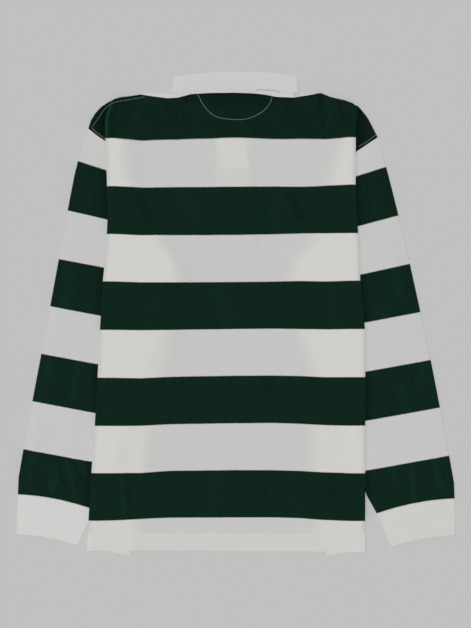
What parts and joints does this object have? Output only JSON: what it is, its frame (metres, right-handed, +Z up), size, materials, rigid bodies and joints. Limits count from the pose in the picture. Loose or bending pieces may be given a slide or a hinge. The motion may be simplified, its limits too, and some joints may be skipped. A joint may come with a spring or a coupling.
{
  "type": "long-sleeved polo shirt",
  "caption": "Hooped long-sleeved polo shirt with a turned-down collar and ribbed cuffs, laid flat and face down with its sides folded under.",
  "frame": {"origin": "middle of the shirt's outline, on the surface that it lies on", "axes": "+X towards the wearer's right sleeve, +Y from hem to neck, +Z up from the surface, out of the shirt's back"},
  "size_m": [0.7012, 0.7771, 0.0099],
  "materials": {
    "green_jersey": "heavy knitted cotton jersey in dark green, with white hoops on the real shirt",
    "white_rib": "ribbed white cotton",
    "white_twill": "plain white cotton twill",
    "button_white": "semi-matt off-white"
  },
  "bodies": {
    "root": {"back": "green_jersey", "front": "green_jersey", "sleeve_left": "green_jersey", "sleeve_right": "green_jersey", "cuff_left": "white_rib", "cuff_right": "white_rib", "collar": "white_twill", "placket": "white_twill", "button_top": "button_white", "button_middle": "button_white", "button_bottom": "button_white"}
  },
  "joints": []
}
